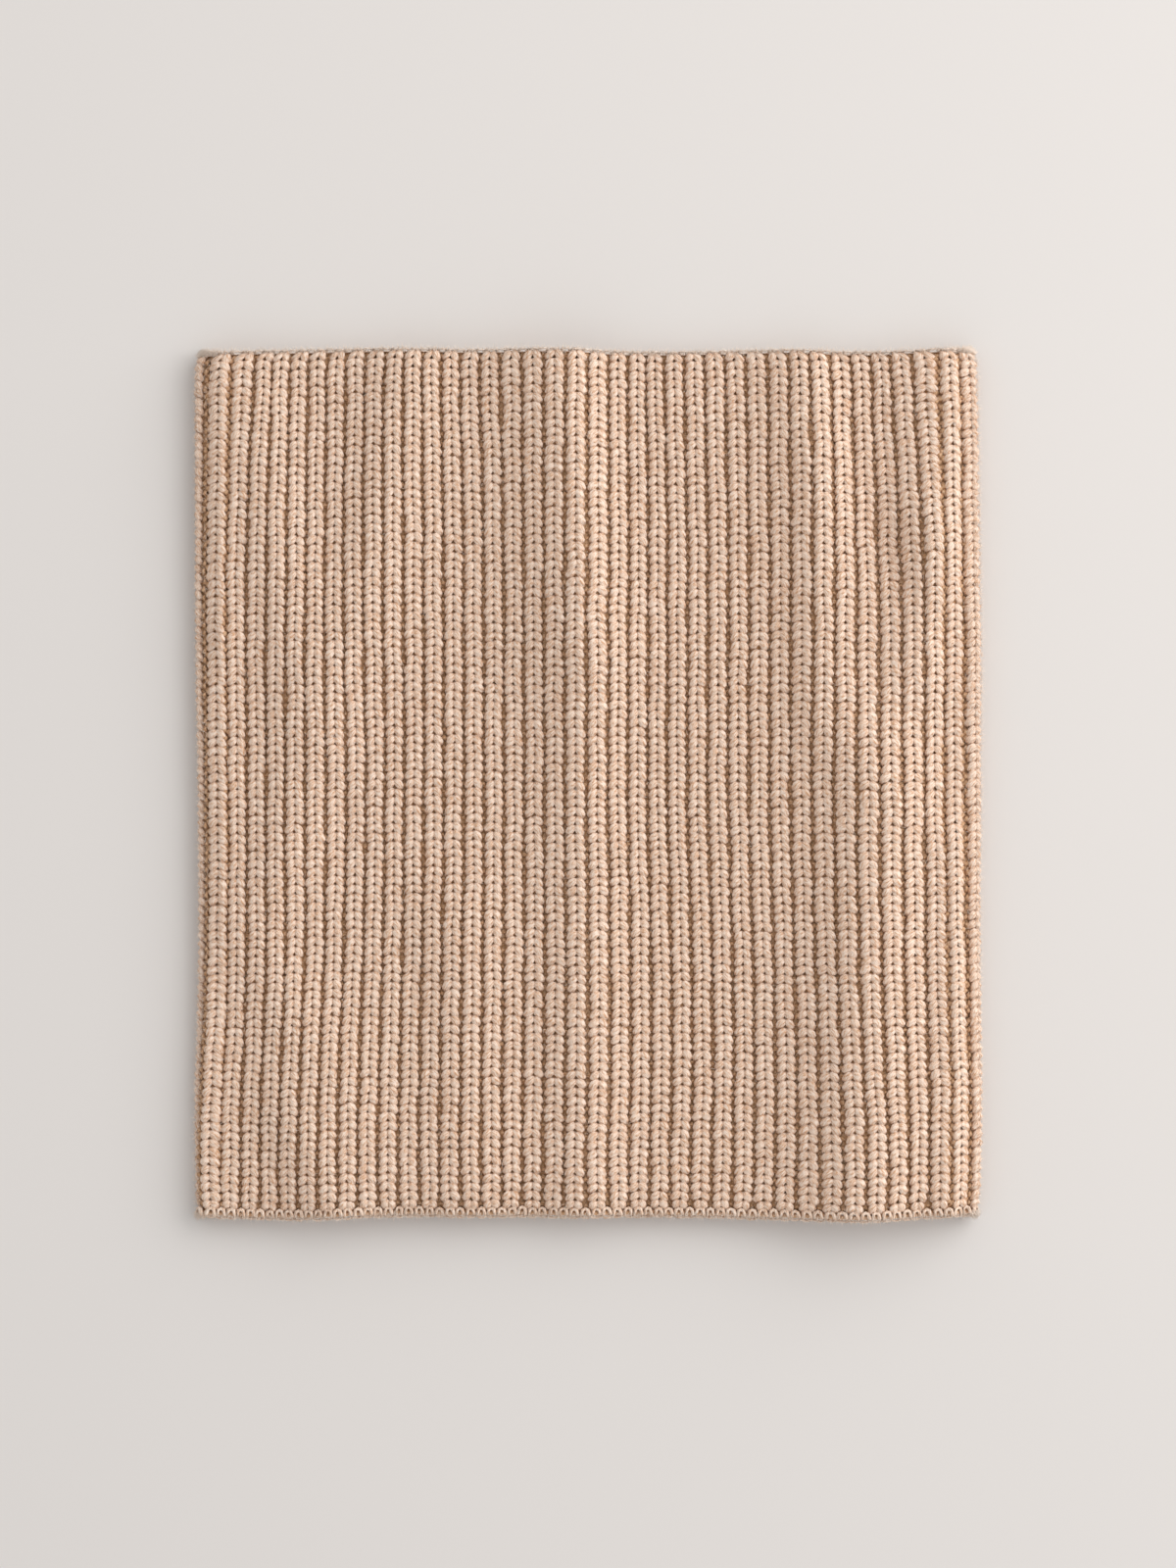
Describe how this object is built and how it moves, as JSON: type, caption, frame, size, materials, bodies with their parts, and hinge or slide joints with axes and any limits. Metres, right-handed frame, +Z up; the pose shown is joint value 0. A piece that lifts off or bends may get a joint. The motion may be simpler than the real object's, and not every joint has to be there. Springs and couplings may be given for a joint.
{
  "type": "infinity scarf",
  "caption": "Chunky ribbed knit infinity scarf: a soft closed tube for the neck, laid flat on a surface with its two layers together.",
  "frame": {"origin": "centre of the underside, on the surface that the scarf lies on", "axes": "+Z up, +Y along the ribs towards the cast-on mouth, +X towards the right-hand fold as the picture shows it"},
  "size_m": [0.3012, 0.333, 0.0215],
  "materials": {
    "rib_knit_yarn": "soft fuzzy beige wool blend yarn, knitted",
    "bind_off_yarn": "soft fuzzy beige wool blend yarn, chained",
    "cast_on_yarn": "soft fuzzy beige wool blend yarn, looped"
  },
  "bodies": {
    "root": {"rib_tube": "rib_knit_yarn", "bind_off_edge": "bind_off_yarn", "cast_on_edge": "cast_on_yarn"}
  },
  "joints": []
}
